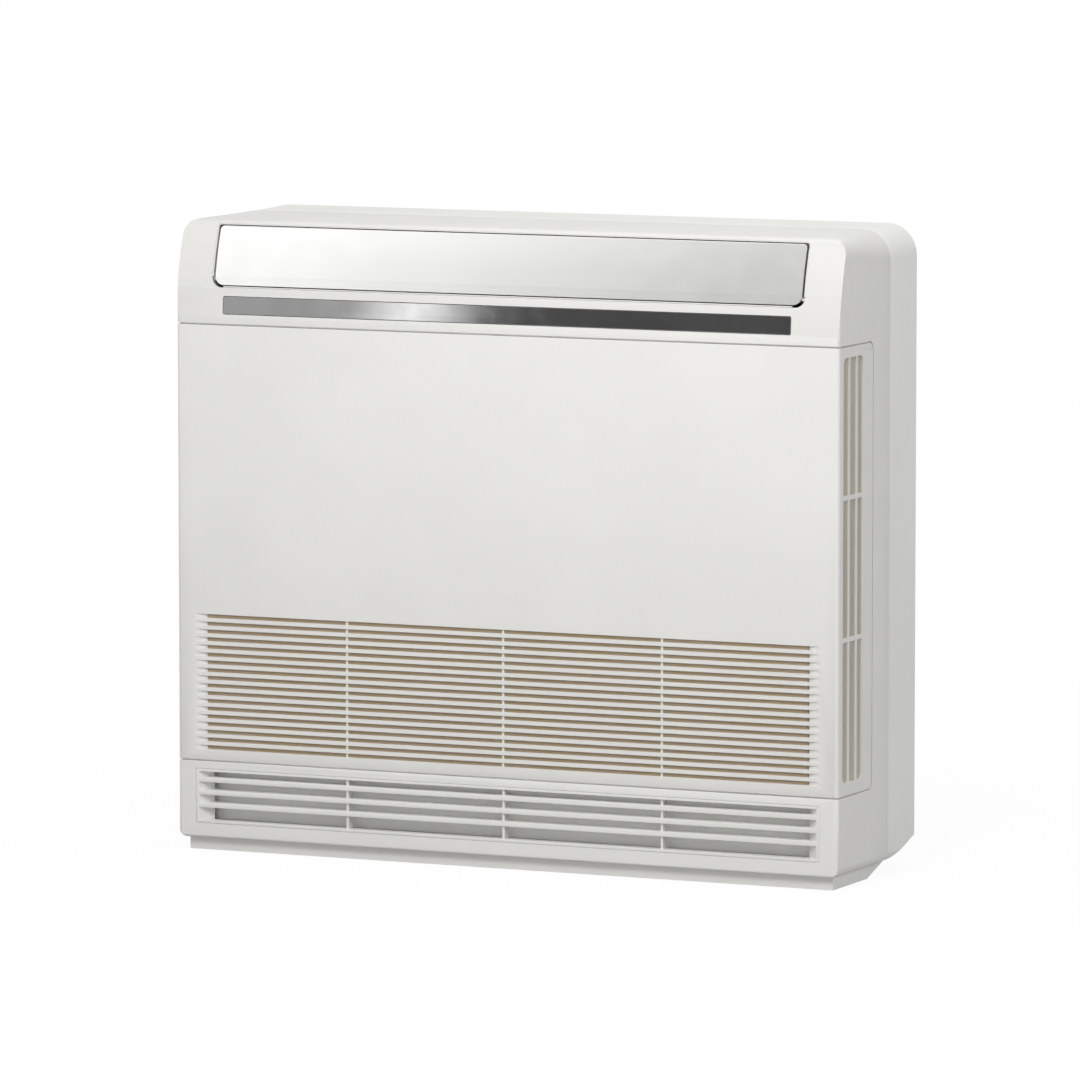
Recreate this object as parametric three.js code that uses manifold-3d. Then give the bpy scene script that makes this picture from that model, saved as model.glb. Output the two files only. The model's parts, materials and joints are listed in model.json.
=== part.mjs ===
// Floor standing air conditioner: a slim console that draws room air through its front panel and sides,
// and blows it out at the top and, when the lower damper opens, at the floor.
// Millimetres. X runs to the right, Y back to the wall, Z up. The origin lies under the middle, on the floor.

import * as THREE from 'three';
import { mergeVertices } from 'three/addons/utils/BufferGeometryUtils.js';
import Module from 'manifold-3d';

const wasm = await Module();
wasm.setup();

// ---------------------------------------------------------------- driving dimensions
const width = 700;
const depth = 192;
const height = 622;

const wall = 2.5; // moulded housing walls
const fit = 0.3; // clearance between pieces that touch
const seam = 1.5; // open joint round the front panel
const overlap = 1; // how far a joined boss reaches into its wall
const shortest = 0.005; // edges below this are closed up
const rim = 0.4; // how far a joined wall stops short of the wall that it meets

const half = width / 2;
const frontY = -depth / 2;
const backY = depth / 2;

const coverBottomZ = 12.5; // underside of the cabinet, above the plinth
const lowerSeamZ = 89; // joint between lower cover and front panel
const upperSeamZ = 517; // joint between front panel and upper cover
const coverRearY = 28; // where the front cabinet meets the rear cabinet

const face = { leanZ: 612, leanBack: 17.5, creaseBack: 24, topFall: 4.4, edge: 3, plan: 4 };
const corner = { front: 15, rear: 28, bottom: 10 };

const colours = {
  shell: 0xf1efe9, rearShell: 0xf4f2ee, blade: 0xeeede9, grille: 0xe9e7e0, window: 0x55565a,
  duct: 0xd9d7d0, dark: 0x3c3d3f, fan: 0xc9ccd0, fin: 0xbfc4c6, steel: 0xa9adb0, copper: 0xb87446,
  mesh: 0x8a7658, frame: 0xc8c2b2, board: 0x2f5d3a, brass: 0xc09a4e, foam: 0xe6e6e2
};

// ---------------------------------------------------------------- shape helpers
const X = new THREE.Vector3(1, 0, 0);
const Y = new THREE.Vector3(0, 1, 0);
const Z = new THREE.Vector3(0, 0, 1);

// A closed mesh as a solid for joins and cuts.
function solid(geometry) {
  const bare = geometry.clone();
  bare.deleteAttribute('normal');
  bare.deleteAttribute('uv');
  const merged = mergeVertices(bare, 1e-3);
  return new wasm.Manifold(new wasm.Mesh({
    numProp: 3,
    vertProperties: new Float32Array(merged.attributes.position.array),
    triVerts: new Uint32Array(merged.index.array)
  }));
}

// A solid back as a drawable geometry with flat facets. Edges too short to make are closed up.
function geometryOf(body) {
  const mesh = body.getMesh();
  const count = mesh.vertProperties.length / mesh.numProp;
  const points = Array.from({ length: count }, (_, i) => (
    new THREE.Vector3().fromArray(mesh.vertProperties, i * mesh.numProp)
  ));
  const same = points.map((_, i) => i);
  const root = (i) => (same[i] === i ? i : root(same[i]));
  const sides = (i) => [[i, i + 1], [i + 1, i + 2], [i + 2, i]].map((pair) => pair.map((k) => mesh.triVerts[k]));
  for (let i = 0; i < mesh.triVerts.length; i += 3) {
    for (const [a, b] of sides(i)) {
      if (points[a].distanceTo(points[b]) < shortest) same[root(a)] = root(b);
    }
  }
  const faces = [];
  for (let i = 0; i < mesh.triVerts.length; i += 3) {
    const face = [0, 1, 2].map((k) => root(mesh.triVerts[i + k]));
    if (new Set(face).size === face.length) faces.push(...face);
  }
  const geometry = new THREE.BufferGeometry();
  geometry.setAttribute('position', new THREE.Float32BufferAttribute(points.flatMap((at) => at.toArray()), 3));
  geometry.setIndex(faces);
  geometry.computeVertexNormals();
  return geometry;
}

const joined = (first, ...rest) => rest.reduce((body, next) => body.add(next), first);
const cut = (first, ...rest) => rest.reduce((body, next) => body.subtract(next), first);

function box([x0, x1], [y0, y1], [z0, z1]) {
  const geometry = new THREE.BoxGeometry(x1 - x0, y1 - y0, z1 - z0);
  return solid(geometry.translate((x0 + x1) / 2, (y0 + y1) / 2, (z0 + z1) / 2));
}

// An outline pushed along an axis. Along x it holds (y, z), along y (x, z) and along z (x, y).
function prism(axis, outline, from, to, curveSegments = 8) {
  const options = { depth: to - from, bevelEnabled: false, curveSegments };
  const geometry = new THREE.ExtrudeGeometry(outline, options);
  const turn = new THREE.Matrix4();
  if (axis === 'x') turn.makeBasis(Y, Z, X).setPosition(from, 0, 0);
  if (axis === 'y') turn.makeBasis(X, Z, Y.clone().negate()).setPosition(0, to, 0);
  if (axis === 'z') turn.setPosition(0, 0, from);
  return solid(geometry.applyMatrix4(turn));
}

function polygon(points) {
  return new THREE.Shape(points.map(([a, b]) => new THREE.Vector2(a, b)));
}

// A rectangle whose low and high corners have their own radii.
function roundedRect([a0, a1], [b0, b1], lowRadius, highRadius = lowRadius) {
  const shape = new THREE.Shape();
  const arc = (a, b, radius, start) => {
    if (radius > 0) shape.absarc(a, b, radius, start, start + Math.PI / 2);
    else shape.lineTo(a, b);
  };
  shape.moveTo(a0 + lowRadius, b0);
  arc(a1 - lowRadius, b0 + lowRadius, lowRadius, -Math.PI / 2);
  arc(a1 - highRadius, b1 - highRadius, highRadius, 0);
  arc(a0 + highRadius, b1 - highRadius, highRadius, Math.PI / 2);
  arc(a0 + lowRadius, b0 + lowRadius, lowRadius, Math.PI);
  return shape;
}

// A rod along an axis through the point (a, b) of the plane across it.
function rod(axis, radius, from, to, [a, b], sides = 16) {
  const disc = new THREE.Shape();
  disc.absarc(a, b, radius, 0, Math.PI * 2);
  return prism(axis, disc, from, to, sides / 2);
}

// A closed profile of (radius, y) points turned about the line along Y through (x, z).
function turned(profile, [x, z], sides = 48) {
  const closed = [...profile, profile[0]].map(([radius, y]) => new THREE.Vector2(radius, y));
  const body = solid(new THREE.LatheGeometry(closed, sides).translate(x, 0, z));
  return body.volume() < 0 ? turned([...profile].reverse(), [x, z], sides) : body;
}

// A skin through rings of equally many points, closed by a fan at each end.
function loft(rings) {
  const count = rings[0].length;
  const points = rings.flat().flatMap((point) => point.toArray());
  const faces = [];
  for (let ring = 0; ring < rings.length - 1; ring += 1) {
    for (let i = 0; i < count; i += 1) {
      const a = ring * count + i;
      const b = ring * count + (i + 1) % count;
      faces.push(a, b, b + count, a, b + count, a + count);
    }
  }
  const fan = (ring, flip) => {
    const middle = new THREE.Vector3();
    rings[ring].forEach((point) => middle.addScaledVector(point, 1 / count));
    const centre = points.length / 3;
    points.push(...middle.toArray());
    for (let i = 0; i < count; i += 1) {
      const a = ring * count + i;
      const b = ring * count + (i + 1) % count;
      if (flip) faces.push(centre, b, a);
      else faces.push(centre, a, b);
    }
  };
  fan(0, true);
  fan(rings.length - 1, false);
  const geometry = new THREE.BufferGeometry();
  geometry.setAttribute('position', new THREE.Float32BufferAttribute(points, 3));
  geometry.setIndex(faces);
  return solid(geometry);
}

// An outline in (x, z) as a ring of points at depth y, running so that a loft towards -Y faces out.
function ringAt(y, outline, curveSegments = 4) {
  const flat = outline.getPoints(curveSegments);
  if (flat[0].distanceTo(flat[flat.length - 1]) < 1e-6) flat.pop();
  return flat.map((point) => new THREE.Vector3(point.x, y, point.y));
}

// ---------------------------------------------------------------- the moulded housing's outer form
const topZ = (y) => height - face.topFall * (backY - y) / depth;

// How far the upper cover's face lies behind the panel's plane at a height.
function lean(z) {
  const rise = THREE.MathUtils.clamp((z - upperSeamZ) / (face.leanZ - upperSeamZ), 0, 1);
  return face.leanBack * rise * rise;
}

// Side view of the front cabinet: upright below, leaning back above, then a crease and the top.
function cabinetProfile(inset, rearY) {
  const front = frontY + inset;
  const bottom = coverBottomZ + inset;
  const creaseY = frontY + face.creaseBack + inset;
  const shape = new THREE.Shape();
  shape.moveTo(rearY, bottom);
  shape.lineTo(front + face.edge, bottom);
  shape.quadraticCurveTo(front, bottom, front, bottom + face.edge);
  shape.lineTo(front, upperSeamZ);
  shape.quadraticCurveTo(front, (upperSeamZ + face.leanZ) / 2, front + face.leanBack, face.leanZ - inset);
  shape.quadraticCurveTo(front + face.leanBack + 1, topZ(creaseY) - inset, creaseY, topZ(creaseY) - inset);
  shape.lineTo(rearY, topZ(rearY) - inset);
  return shape;
}

// Front view of the housing at a depth: its upper corners open out towards the back.
function frontOutline(y, inset) {
  const along = THREE.MathUtils.clamp((y - frontY) / (coverRearY - frontY), 0, 1);
  const radius = THREE.MathUtils.lerp(corner.front, corner.rear, along);
  const x = half - inset;
  const z = [coverBottomZ + inset, topZ(Math.max(y, frontY + face.creaseBack)) - inset];
  return roundedRect([-x, x], z, corner.bottom - inset, radius - inset);
}

function cabinetForm(inset, rearY = coverRearY) {
  const side = prism('x', cabinetProfile(inset, rearY), -half + inset, half - inset, 6);
  const depths = [rearY, coverRearY, (frontY + coverRearY) / 2, frontY - overlap];
  const steps = depths.filter((y, i) => i === 0 || y < depths[i - 1]);
  const outline = loft(steps.map((y) => ringAt(y, frontOutline(y, inset))));
  const plan = new THREE.Shape();
  const x = half - inset;
  const y = frontY + inset;
  plan.moveTo(x, rearY);
  plan.lineTo(-x, rearY);
  plan.lineTo(-x, y + face.plan);
  plan.quadraticCurveTo(-x, y, -x + face.plan, y);
  plan.lineTo(x - face.plan, y);
  plan.quadraticCurveTo(x, y, x, y + face.plan);
  return side.intersect(outline).intersect(prism('z', plan, 0, height + overlap, 4));
}

// A curved plate cut from the housing's own face, between two depths below its surface.
function faceplate(outline, near, far, curveSegments = 3) {
  const reach = prism('y', outline, frontY - overlap, frontY + face.creaseBack + far, curveSegments);
  return cabinetForm(near).subtract(cabinetForm(far, coverRearY + overlap)).intersect(reach);
}

// ---------------------------------------------------------------- the sub-parts
const unit = new THREE.Group();

function addPiece(name, body, colour, roughness = 0.5, metalness = 0) {
  const material = new THREE.MeshStandardMaterial({ color: colour, roughness, metalness });
  const mesh = new THREE.Mesh(geometryOf(body), material);
  mesh.name = name;
  unit.add(mesh);
  return mesh;
}

const panel = {
  rearY: -13.5, rearRadius: 8, lip: 8, bottom: lowerSeamZ + seam / 2, top: upperSeamZ - seam / 2
};
const recess = { x: 313, bottom: 553, top: 614.6, lowRadius: 10, highRadius: 4 };
const display = { x: 300, bottom: 527, top: 545, radius: 2, thick: 2.5, sunk: 0.4 };
const grille = { x: 331, throatX: 315, bottom: 27, top: 81, depth: 11.5, radius: 2 };
const shelf = { depth: 34, sillDepth: 26 };

function frontCabinet() {
  const shellWall = cut(cabinetForm(0), cabinetForm(wall, coverRearY + overlap));
  const inside = [-half + overlap, half - overlap];
  const shelfBottom = panel.top + seam;
  const sillTop = panel.bottom - seam;
  const upperShelf = box(inside, [frontY + overlap, frontY + shelf.depth], [shelfBottom, shelfBottom + wall]);
  const sill = box(inside, [frontY + overlap, frontY + shelf.sillDepth], [sillTop - wall, sillTop]);
  const opening = roundedRect(
    [frontY - 2 * panel.rearRadius, panel.rearY + seam], [sillTop, shelfBottom], panel.rearRadius + seam
  );
  return cut(
    joined(shellWall, upperShelf, sill),
    prism('x', opening, -half - overlap, half + overlap),
    prism('y', roundedRect([-recess.x, recess.x], [recess.bottom, recess.top], recess.lowRadius,
      recess.highRadius), frontY - overlap, frontY + 2 * face.creaseBack),
    prism('y', roundedRect([-display.x, display.x], [display.bottom, display.top], display.radius),
      frontY - overlap, frontY + 2 * wall + overlap),
    prism('y', roundedRect([-grille.x, grille.x], [grille.bottom, grille.top], grille.radius),
      frontY - overlap, frontY + 2 * wall)
  );
}
addPiece('front_cabinet', frontCabinet(), colours.shell, 0.45);

const rear = {
  bandBack: 9, bandStep: 1.5, radius: 30, backWall: 3, slopeStartY: 37, slopeTopZ: 31, postReach: 14
};
const piping = { x: [306, 342], z: [104, 170], radius: 8 };
const axle = { x: 0, z: 290 }; // centre of the fan
const motorPost = { spread: 80, radius: 7 };

function rearProfile(inset, frontEdge, backEdge) {
  const slopeZ = coverBottomZ + inset;
  return polygon([
    [frontEdge, slopeZ], [rear.slopeStartY, slopeZ], [backEdge, rear.slopeTopZ + inset],
    [backEdge, topZ(backEdge) - inset], [frontEdge, topZ(frontEdge) - inset]
  ]);
}

function rearForm(inset, frontEdge, backEdge, stepFor) {
  const depths = [backEdge, coverRearY + rear.bandBack, frontEdge];
  const rings = depths.map((y) => {
    const all = inset + stepFor(y);
    const x = half - all;
    const z = [coverBottomZ + inset, topZ(y) - all];
    return ringAt(y, roundedRect([-x, x], z, corner.bottom - inset, rear.radius - all));
  });
  return loft(rings).intersect(prism('x', rearProfile(inset, frontEdge, backEdge), -half, half));
}

function rearCabinet() {
  const frontEdge = coverRearY + fit;
  const banded = (y) => (y < coverRearY + rear.bandBack ? rear.bandStep : 0);
  const always = () => rear.bandStep;
  const outer = rearForm(0, frontEdge, backY, banded);
  const hollow = rearForm(wall, frontEdge - overlap, backY - rear.backWall, always);
  const opening = prism('y', roundedRect(piping.x, piping.z, piping.radius), backY - 2 * wall, backY + overlap);
  const posts = [-1, 1].flatMap((sx) => [-1, 1].map((sz) => rod('y', motorPost.radius,
    backY - rear.backWall - rear.postReach, backY - rear.backWall + overlap,
    [axle.x + sx * motorPost.spread, axle.z + sz * motorPost.spread], 10)));
  return joined(cut(outer, hollow, opening), ...posts);
}
addPiece('rear_cabinet', rearCabinet(), colours.rearShell, 0.5);

const plinth = {
  inset: 8.5, slopeY: -3, footX: 290, footRearY: 75, wall: 3, bays: 6, radius: 3, rearRise: 12
};

function basePlinth() {
  const x = half - plinth.inset;
  const front = frontY + plinth.inset;
  const top = coverBottomZ - fit;
  const slopeAt = (y) => coverBottomZ - fit
    + (rear.slopeTopZ - coverBottomZ) * (y - rear.slopeStartY) / (backY - rear.slopeStartY);
  const ends = polygon([[front, 0], [plinth.slopeY, 0], [rear.slopeStartY, top], [front, top]]);
  const foot = polygon([
    [plinth.slopeY, 0], [plinth.footRearY, 0], [plinth.footRearY, slopeAt(plinth.footRearY)],
    [rear.slopeStartY, top], [plinth.slopeY, top]
  ]);
  const pockets = [];
  const bay = (span, y, z) => {
    const step = 2 * (span - plinth.wall) / plinth.bays;
    for (let i = 0; i < plinth.bays; i += 1) {
      const start = -span + plinth.wall + i * step;
      pockets.push(box([start, start + step - plinth.wall], y, [-overlap, z]));
    }
  };
  bay(x, [front + plinth.wall, plinth.slopeY - plinth.wall], top - plinth.wall);
  bay(plinth.footX, [plinth.slopeY, plinth.footRearY - plinth.wall], top - plinth.wall);
  const block = joined(prism('x', ends, -x, x), prism('x', foot, -plinth.footX, plinth.footX));
  return cut(block, ...pockets);
}
addPiece('base_plinth', basePlinth(), colours.grille, 0.6);

const slats = { count: 3, tops: [72.5, 60, 47.5], thick: 5, openTop: 78, openBottom: 30, ribs: [-167, 0, 167] };

// Lower outlet grille: three slats and three ribs, with pockets that run out to the face at both ends.
function lowerGrille() {
  const face0 = frontY + fit;
  const back = frontY + grille.depth;
  const block = prism('y', roundedRect([-grille.x + fit, grille.x - fit],
    [grille.bottom + fit, grille.top - fit], grille.radius), face0, back, 3);
  const sheer = polygon([
    [-grille.x + grille.radius, face0 - overlap], [grille.x - grille.radius, face0 - overlap],
    [grille.throatX, back + overlap], [-grille.throatX, back + overlap]
  ]);
  const tops = [slats.openTop, ...slats.tops.map((z) => z - slats.thick)];
  const bottoms = [...slats.tops, slats.openBottom];
  const slots = tops.map((z, i) => prism('z', sheer, bottoms[i], z));
  const ribs = slats.ribs.map((x) => box([x - 1.2, x + 1.2], [face0 + 2, back], [slats.openBottom - 1, slats.openTop + 1]));
  return joined(cut(block, ...slots), ...ribs);
}
addPiece('lower_grille', lowerGrille(), colours.shell, 0.45);

const intake = {
  slots: 18, topZ: 231, pitch: 7.59, mouth: 4.4, throat: 2.6, endX: 331, throatX: 315, front: 3,
  ribs: [-167, 0, 167], ribWide: 2.4, ribFrom: 1.8, ribTo: 5.5
};
const sideGrille = {
  frontY: -85.5, rearY: -38, bottom: 102, top: 506, radius: 6, bars: [-69.9, -51.3], barWide: 4.6,
  crossZ: [238, 373], crossHigh: 4.4, sunk: 0.6
};
const tabs = { x: [-250, 0, 250], wide: 20, depth: 12, high: 2 };

// Front panel: a shallow tray with the intake grille in its face and a side grille in each return.
function frontPanel() {
  const z = [panel.bottom, panel.top];
  const side = roundedRect([frontY, panel.rearY], z, panel.rearRadius);
  const square = prism('x', polygon([[frontY, z[0]], [frontY + 2 * panel.rearRadius, z[0]],
    [frontY + 2 * panel.rearRadius, z[1]], [frontY, z[1]]]), -half, half);
  const outer = prism('x', side, -half, half).add(square).intersect(cabinetForm(0));
  const inner = joined(
    box([-half + wall, half - wall], [frontY + intake.front, 0], [z[0] + 2, z[1] - 2]),
    box([-half + wall, half - wall], [frontY + panel.lip, 0], [z[0] - overlap, z[1] + overlap])
  );
  const slots = [];
  for (let i = 0; i < intake.slots; i += 1) {
    const middle = intake.topZ - i * intake.pitch;
    const ring = (y, x, high) => ringAt(y, polygon([
      [-x, middle - high / 2], [x, middle - high / 2], [x, middle + high / 2], [-x, middle + high / 2]
    ]));
    slots.push(loft([
      ring(frontY + intake.front + overlap, intake.throatX, intake.throat),
      ring(frontY - 0.1, intake.endX, intake.mouth)
    ]));
  }
  const low = intake.topZ - (intake.slots - 0.5) * intake.pitch;
  const high = intake.topZ + 0.5 * intake.pitch;
  const ribs = intake.ribs.map((x) => box([x - intake.ribWide / 2, x + intake.ribWide / 2],
    [frontY + intake.ribFrom, frontY + intake.ribTo], [low, high]));
  const opening = roundedRect([sideGrille.frontY, sideGrille.rearY], [sideGrille.bottom, sideGrille.top],
    sideGrille.radius);
  const bars = [-1, 1].flatMap((sideOf) => {
    const x = [half - wall, half - sideGrille.sunk].map((value) => sideOf * value).sort((a, b) => a - b);
    const y = [sideGrille.frontY - overlap, sideGrille.rearY + overlap];
    const upright = sideGrille.bars.map((middle) => box(x,
      [middle - sideGrille.barWide / 2, middle + sideGrille.barWide / 2],
      [sideGrille.bottom - overlap, sideGrille.top + overlap]));
    const cross = sideGrille.crossZ.map((middle) => box(x, y,
      [middle - sideGrille.crossHigh / 2, middle + sideGrille.crossHigh / 2]));
    return [...upright, ...cross];
  });
  const feet = tabs.x.map((x) => box([x - tabs.wide / 2, x + tabs.wide / 2],
    [frontY + intake.front, frontY + tabs.depth], [panel.bottom - seam + fit, panel.bottom + tabs.high]));
  const tray = cut(outer, inner, ...slots, prism('x', opening, -half - overlap, half + overlap));
  return joined(tray, ...ribs, ...bars, ...feet);
}
addPiece('front_panel', frontPanel(), colours.shell, 0.45);

addPiece('display_window', faceplate(roundedRect(
  [-display.x + fit, display.x - fit], [display.bottom + fit, display.top - fit], display.radius
), display.sunk, display.sunk + display.thick), colours.window, 0.1);
addPiece('display_board', box([-70, 70], [frontY + 4.9, frontY + 6.5], [display.bottom + 1, display.top - 1]),
  colours.board, 0.6);

const blade = {
  x: 309.5, bottom: 555.5, top: 612.4, thick: 6.7, axisY: -86, axisZ: 560.5, pin: 2.5,
  pinEnd: 315.5, swing: 53
};

function topBlade() {
  const outline = roundedRect([-blade.x, blade.x], [blade.bottom, blade.top], 9, 4);
  const swept = rod('x', blade.swing, -blade.x - overlap, blade.x + overlap, [blade.axisY, blade.axisZ], 64);
  const plate = faceplate(outline, fit, fit + blade.thick, 6).intersect(swept);
  const pins = [-1, 1].map((sideOf) => {
    const ends = [sideOf * (blade.x - 4), sideOf * blade.pinEnd].sort((a, b) => a - b);
    return rod('x', blade.pin, ...ends, [blade.axisY, blade.axisZ], 12);
  });
  return joined(plate, ...pins);
}
addPiece('top_blade', topBlade(), colours.blade, 0.25);

// ---------------------------------------------------------------- air path
const duct = {
  wall: 2.2, baseZ: 480.3, rearY: 92.4, topZ: 614.8, crestY: -20, mouthY: -70, lipY: -74, lipZ: 547,
  floorY: -12, floorZ: 530, cheek: 313.3, cheekWall: 2.5
};
const vane = {
  xs: [42, 118, 194, 270], axisY: -50, frontY: -66, rearY: -22, bottom: 550.5, top: 611, thick: 1.6,
  pin: 2, play: 0.4, noseCut: 6, linkY: -28, linkPin: 1.5, notch: [576, 587], notchFront: -33.5
};

function outletDuct() {
  const upper = new THREE.Shape();
  const [back, roof, base] = [duct.rearY - rim, duct.topZ - rim, duct.baseZ + rim];
  upper.moveTo(back, base);
  upper.quadraticCurveTo(back, roof, duct.crestY, roof);
  upper.lineTo(duct.mouthY + rim, roof);
  upper.lineTo(duct.mouthY + rim, roof - duct.wall);
  upper.lineTo(duct.crestY, roof - duct.wall);
  upper.quadraticCurveTo(back - duct.wall, roof - duct.wall, back - duct.wall, base);
  const lower = new THREE.Shape();
  const [front, floor, lip] = [duct.floorY + rim, duct.floorZ + rim, duct.lipY + rim];
  lower.moveTo(front, base);
  lower.lineTo(front + duct.wall, base);
  lower.quadraticCurveTo(front + duct.wall, floor + duct.wall, lip, duct.lipZ + duct.wall + rim);
  lower.lineTo(lip, duct.lipZ + rim);
  lower.quadraticCurveTo(front, floor, front, base);
  const cheek = new THREE.Shape();
  cheek.moveTo(duct.rearY, duct.baseZ);
  cheek.quadraticCurveTo(duct.rearY, duct.topZ, duct.crestY, duct.topZ);
  cheek.lineTo(duct.mouthY, duct.topZ);
  cheek.lineTo(-73.5, 611);
  cheek.lineTo(-88.3, 566);
  cheek.lineTo(-90.4, 552.5);
  cheek.lineTo(duct.lipY, duct.lipZ);
  cheek.quadraticCurveTo(duct.floorY, duct.floorZ, duct.floorY, duct.baseZ);
  const inner = duct.cheek + overlap;
  const outer = duct.cheek + duct.cheekWall;
  const holes = vane.xs.flatMap((x) => [-x, x].map((at) => rod('z', vane.pin + vane.play,
    duct.floorZ - 10, duct.topZ + overlap, [at, vane.axisY], 6)));
  const pivot = rod('x', blade.pin + fit, -outer - overlap, outer + overlap, [blade.axisY, blade.axisZ], 12);
  const shell = joined(
    prism('x', upper, -inner, inner), prism('x', lower, -inner, inner),
    prism('x', cheek, duct.cheek, outer), prism('x', cheek, -outer, -duct.cheek)
  );
  return cut(shell, ...holes, pivot);
}
addPiece('outlet_duct', outletDuct(), colours.duct, 0.6);

// A vane that swings about its upright pins and is moved by a link through the notch in its rear edge.
function vaneAt(x) {
  const nose = vane.frontY + vane.noseCut;
  const plate = prism('x', polygon([
    [nose, vane.bottom], [vane.rearY, vane.bottom], [vane.rearY, vane.top], [nose, vane.top],
    [vane.frontY, vane.top - vane.noseCut], [vane.frontY, vane.bottom + vane.noseCut]
  ]), x - vane.thick / 2, x + vane.thick / 2);
  const notch = box([x - vane.thick, x + vane.thick], [vane.notchFront, 0], vane.notch);
  const ends = [vane.notch[0] - overlap, vane.notch[1] + overlap];
  return joined(
    cut(plate, notch),
    rod('z', vane.linkPin, ...ends, [x, vane.linkY], 6),
    rod('z', vane.pin, duct.lipZ - 10, vane.bottom + 4, [x, vane.axisY], 6),
    rod('z', vane.pin, vane.top - 4, duct.topZ - 0.4, [x, vane.axisY], 6)
  );
}

function vaneLink(xs) {
  const bar = box([Math.min(...xs) - 7, Math.max(...xs) + 7], [vane.linkY - 3, vane.linkY + 3], [579.5, 583.5]);
  return cut(bar, ...xs.map((x) => rod('z', vane.linkPin + vane.play, 578, 585, [x, vane.linkY], 8)));
}

for (const [bank, sign] of [['left', -1], ['right', 1]]) {
  vane.xs.forEach((x, i) => addPiece(`vane_${bank}_${i + 1}`, vaneAt(sign * x), colours.duct, 0.5));
  addPiece(`vane_${bank}_link`, vaneLink(vane.xs.map((x) => sign * x)), colours.dark, 0.5);
}

const lowDuct = {
  wall: 2.2, rearY: 92.4, topZ: 99.7, floorZ: 15.3, bendY: 20, lipY: -83.7, lipZ: 26, roofZ: 84.3,
  roofFront: -69.5, roofRear: -16, x: 333.3, cheekWall: 2.5
};
const damper = { x: 331, y: -75.5, thick: 2.5, bottom: 29, top: 83.4, axisY: -74.25, axisZ: 80.5, pin: 2 };

function lowerDuct() {
  const t = lowDuct.wall;
  const floor = new THREE.Shape();
  const [back, base, front] = [lowDuct.rearY - rim, lowDuct.floorZ + rim, lowDuct.lipY + rim];
  const top = lowDuct.topZ - rim;
  floor.moveTo(back, top);
  floor.lineTo(back - t, top);
  floor.quadraticCurveTo(back - t, base + t, lowDuct.bendY, base + t);
  floor.lineTo(front + t, base + t);
  floor.lineTo(front + t, lowDuct.lipZ);
  floor.lineTo(front, lowDuct.lipZ);
  floor.lineTo(front, base);
  floor.lineTo(lowDuct.bendY, base);
  floor.quadraticCurveTo(back, base, back, top);
  const roofFront = lowDuct.roofFront + rim;
  const roof = polygon([
    [roofFront, lowDuct.roofZ], [lowDuct.roofRear, lowDuct.roofZ], [-9.8, top],
    [-11.5, top], [lowDuct.roofRear - 1 + rim, lowDuct.roofZ + t - rim], [roofFront, lowDuct.roofZ + t - rim]
  ]);
  const cheek = new THREE.Shape();
  cheek.moveTo(lowDuct.rearY, lowDuct.topZ);
  cheek.lineTo(-12, lowDuct.topZ);
  cheek.lineTo(lowDuct.roofRear - 1, lowDuct.roofZ + t);
  cheek.lineTo(lowDuct.roofFront, lowDuct.roofZ + t);
  cheek.lineTo(lowDuct.roofFront, lowDuct.roofZ + 1);
  cheek.lineTo(lowDuct.lipY, lowDuct.roofZ + 1);
  cheek.lineTo(lowDuct.lipY, lowDuct.floorZ);
  cheek.lineTo(lowDuct.bendY, lowDuct.floorZ);
  cheek.quadraticCurveTo(lowDuct.rearY, lowDuct.floorZ, lowDuct.rearY, lowDuct.topZ);
  const inner = lowDuct.x + overlap;
  const outer = lowDuct.x + lowDuct.cheekWall;
  const pivot = rod('x', damper.pin + fit, -outer - overlap, outer + overlap, [damper.axisY, damper.axisZ], 12);
  return cut(joined(
    prism('x', floor, -inner, inner, 10), prism('x', roof, -inner, inner),
    prism('x', cheek, lowDuct.x, outer, 10), prism('x', cheek, -outer, -lowDuct.x, 10)
  ), pivot);
}
addPiece('lower_duct', lowerDuct(), colours.duct, 0.6);

function lowerDamper() {
  const plate = box([-damper.x, damper.x], [damper.y, damper.y + damper.thick], [damper.bottom, damper.top]);
  const pins = [-1, 1].map((sideOf) => {
    const ends = [sideOf * (damper.x - 5), sideOf * (lowDuct.x + lowDuct.cheekWall)].sort((a, b) => a - b);
    return rod('x', damper.pin, ...ends, [damper.axisY, damper.axisZ], 12);
  });
  const barrel = rod('x', damper.pin + 0.6, -damper.x, damper.x, [damper.axisY, damper.axisZ], 12);
  return joined(plate, barrel, ...pins);
}
addPiece('lower_damper', lowerDamper(), colours.duct, 0.5);

const casing = { x: 302.5, wall: 2.5, frontY: -12, rearY: 92.7, bottom: 100, top: 480 };
const mouth = { radius: 112, flare: 128, reach: 4, plateHole: 127, thick: 2.2, sides: 28 };

function fanCasing() {
  const plate = box([-casing.x, casing.x], [casing.frontY, casing.frontY + casing.wall], [casing.bottom, casing.top]);
  const hole = rod('y', mouth.plateHole, casing.frontY - overlap, 0, [axle.x, axle.z], mouth.sides);
  const sides = [-1, 1].map((sideOf) => {
    const x = [sideOf * (casing.x - casing.wall - rim), sideOf * (casing.x - rim)].sort((a, b) => a - b);
    return box(x, [casing.frontY + 1, casing.rearY], [casing.bottom + rim, casing.top - rim]);
  });
  const bell = turned([
    [mouth.flare + 2, casing.frontY - rim], [mouth.flare + 2, casing.frontY + casing.wall + rim],
    [mouth.flare - 4, casing.frontY + casing.wall + rim], [mouth.radius + 5, casing.frontY + 6.5],
    [mouth.radius + mouth.thick, casing.frontY + 12], [mouth.radius + mouth.thick, mouth.reach],
    [mouth.radius, mouth.reach], [mouth.radius, casing.frontY + 11], [mouth.radius + 3, casing.frontY + 5],
    [mouth.flare - 6, casing.frontY + 1]
  ], [axle.x, axle.z], mouth.sides);
  return joined(cut(plate, hole), bell, ...sides);
}
addPiece('fan_casing', fanCasing(), colours.duct, 0.6);

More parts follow.
